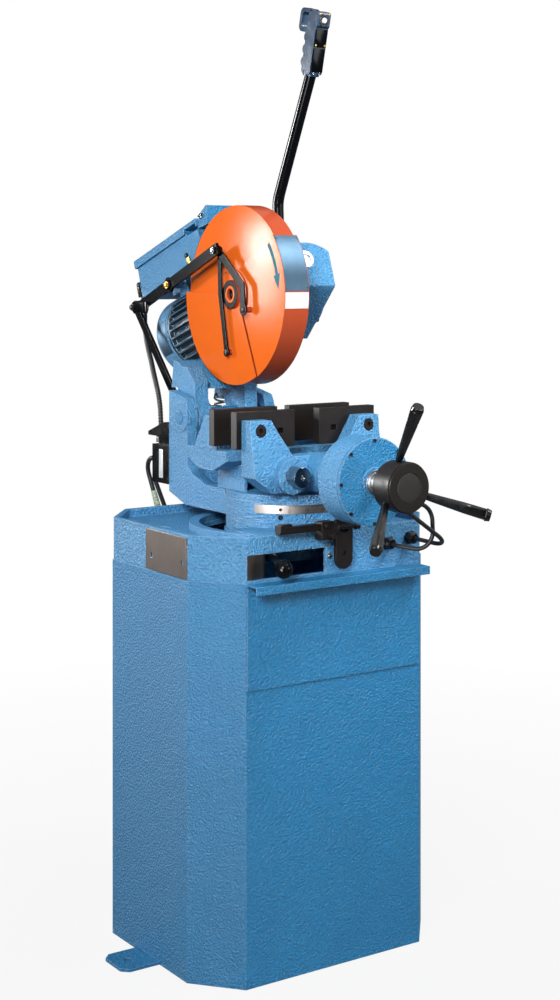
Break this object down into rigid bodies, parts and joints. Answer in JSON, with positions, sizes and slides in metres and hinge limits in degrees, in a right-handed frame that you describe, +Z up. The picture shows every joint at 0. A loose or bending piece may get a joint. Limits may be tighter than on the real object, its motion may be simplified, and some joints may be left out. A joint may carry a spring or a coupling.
{
  "type": "cold saw",
  "caption": "Cold saw on a sheet-metal stand: pivoting blade head with opening guard, swivelling trunnion, screw vise with handwheel, coolant tray and chip drawer.",
  "frame": {"origin": "middle of the stand's foot, on the floor", "axes": "+Z up, +Y to the rear, +X to the operator's right"},
  "size_m": [0.73, 1.0657, 1.9122],
  "materials": {
    "blue_sheet": "fine-textured blue paint on bent sheet",
    "blue_casting": "blue enamel on sand casting",
    "orange_guard": "gloss orange paint",
    "black_steel": "black oxide",
    "bright_steel": "machined",
    "ground_rod": "ground and polished",
    "black_plastic": "moulded",
    "white_plastic": "moulded",
    "black_hose": "extruded"
  },
  "bodies": {
    "base": {"cabinet": "blue_sheet", "floor_tabs": "blue_sheet", "tray": "blue_casting", "chip_collar": "blue_casting", "blank_plate": "bright_steel", "pedestal": "blue_casting", "vise_bed": "blue_casting", "rear_jaws": "black_steel", "rear_screws": "bright_steel", "guide_rods": "ground_rod", "stop_bar": "black_steel", "stop_block": "black_steel", "stop_plate": "black_steel", "hose_glands": "black_plastic", "vise_hoses": "black_hose", "rear_cables": "black_hose"},
    "drawer": {"drawer": "blue_sheet"},
    "carriage": {"vise_carriage": "blue_casting", "front_jaws": "black_steel", "front_screws": "bright_steel", "vise_drum": "blue_sheet", "drum_cover": "blue_sheet", "drum_screws": "black_steel"},
    "handwheel": {"vise_screw": "bright_steel", "wheel_hub": "black_steel", "wheel_arms": "black_steel"},
    "lock": {"lock_lever": "bright_steel", "lock_knob": "black_plastic"},
    "swivel": {"trunnion": "blue_casting", "scale_band": "bright_steel", "hinge_pin": "ground_rod", "junction_box": "black_plastic", "valve_hood": "black_plastic", "conduit": "black_hose", "return_spring": "bright_steel"},
    "guard_rod": {"push_rod": "black_steel"},
    "head": {"head_casting": "blue_casting", "gear_cover": "blue_casting", "front_plug": "bright_steel", "motor_body": "blue_casting", "fan_cover": "blue_casting", "terminal_box": "blue_casting", "control_box": "blue_sheet", "control_lid": "blue_sheet", "upper_guard": "orange_guard", "handle_tube": "black_steel", "grip": "black_plastic", "spindle_bearings": "bright_steel"},
    "motor_rotor": {"rotor": "bright_steel", "fan": "black_plastic"},
    "blade_spindle": {"spindle": "bright_steel", "blade": "bright_steel", "blade_flange": "bright_steel"},
    "front_guard": {"front_guard": "orange_guard"},
    "rear_guard": {"rear_guard": "orange_guard"},
    "guard_arm": {"guard_arm": "black_steel"},
    "front_link": {"link_front": "black_steel"},
    "rear_link": {"link_rear": "black_steel"},
    "trigger": {"trigger": "black_plastic"},
    "thumb_button": {"thumb_button": "white_plastic"}
  },
  "joints": [
    {"name": "drawer_slide", "type": "slide", "parent": "base", "child": "drawer", "axis": [0, -1, 0], "range_m": [0, 0.3]},
    {"name": "swivel", "type": "hinge", "parent": "base", "child": "swivel", "pos_m": [0, -0.07, 0.886], "axis": [0, 0, 1], "range_deg": [-45, 0], "deforming": ["rear_cables"]},
    {"name": "head_tilt", "type": "hinge", "parent": "swivel", "child": "head", "pos_m": [0, 0.171, 1.05], "axis": [1, 0, 0], "range_deg": [0, 47], "stiffness_Nm_per_rad": 220, "springref_deg": -22.92, "deforming": ["conduit", "return_spring"]},
    {"name": "blade_spin", "type": "hinge", "parent": "head", "child": "blade_spindle", "pos_m": [0, 0.085, 1.311], "axis": [1, 0, 0], "continuous": true},
    {"name": "motor_spin", "type": "hinge", "parent": "head", "child": "motor_rotor", "pos_m": [0.084, 0.28774, 1.25692], "axis": [0, 0.9455, -0.3256], "continuous": true},
    {"name": "guard_arm_pivot", "type": "hinge", "parent": "head", "child": "guard_arm", "pos_m": [-0.0545, 0.313, 1.329], "axis": [1, 0, 0], "range_deg": [-19.18, 0]},
    {"name": "front_guard_pivot", "type": "hinge", "parent": "head", "child": "front_guard", "pos_m": [0, 0.085, 1.311], "axis": [1, 0, 0], "range_deg": [-74.31, 0]},
    {"name": "rear_guard_pivot", "type": "hinge", "parent": "head", "child": "rear_guard", "pos_m": [0, 0.085, 1.311], "axis": [1, 0, 0], "range_deg": [0, 59.64]},
    {"name": "front_link_pivot", "type": "hinge", "parent": "front_guard", "child": "front_link", "pos_m": [-0.048, 0.021, 1.28], "axis": [1, 0, 0], "range_deg": [0, 60.4]},
    {"name": "rear_link_pivot", "type": "hinge", "parent": "rear_guard", "child": "rear_link", "pos_m": [-0.043, 0.093, 1.189], "axis": [1, 0, 0], "range_deg": [-39.31, 0]},
    {"name": "guard_rod_pivot", "type": "hinge", "parent": "swivel", "child": "guard_rod", "pos_m": [-0.063, 0.227, 1.0355], "axis": [1, 0, 0], "range_deg": [0, 47.7]},
    {"name": "vise_slide", "type": "slide", "parent": "base", "child": "carriage", "axis": [0, 1, 0], "range_m": [-0.0602, 0.0642], "deforming": ["vise_hoses"]},
    {"name": "handwheel_turn", "type": "hinge", "parent": "carriage", "child": "handwheel", "pos_m": [0, -0.446, 0.96], "axis": [0, 1, 0], "range_deg": [-2700, 2880]},
    {"name": "lock_lever_turn", "type": "hinge", "parent": "base", "child": "lock", "pos_m": [-0.08, -0.13, 0.796], "axis": [0, 0, 1], "range_deg": [0, 35]},
    {"name": "trigger_pull", "type": "hinge", "parent": "head", "child": "trigger", "pos_m": [0.086, -0.04377, 1.90189], "axis": [-1, 0, 0], "range_deg": [0, 7], "stiffness_Nm_per_rad": 0.4, "springref_deg": -8.59},
    {"name": "button_press", "type": "slide", "parent": "head", "child": "thumb_button", "axis": [0, 0.9703, 0.2419], "range_m": [0, 0.003], "stiffness_N_per_m": 300, "springref_m": -0.002}
  ],
  "couplings": [
    {"joint": "motor_spin", "follows": "blade_spin", "ratio": -4},
    {"joint": "guard_arm_pivot", "follows": "head_tilt", "ratio": -0.4},
    {"joint": "front_guard_pivot", "follows": "head_tilt", "ratio": -1.55},
    {"joint": "rear_guard_pivot", "follows": "head_tilt", "ratio": 1.244},
    {"joint": "front_link_pivot", "follows": "head_tilt", "ratio": 1.26},
    {"joint": "rear_link_pivot", "follows": "head_tilt", "ratio": -0.82},
    {"joint": "guard_rod_pivot", "follows": "head_tilt", "ratio": 0.995},
    {"joint": "vise_slide", "follows": "handwheel_turn", "m_per_rad": 0.0012732}
  ]
}
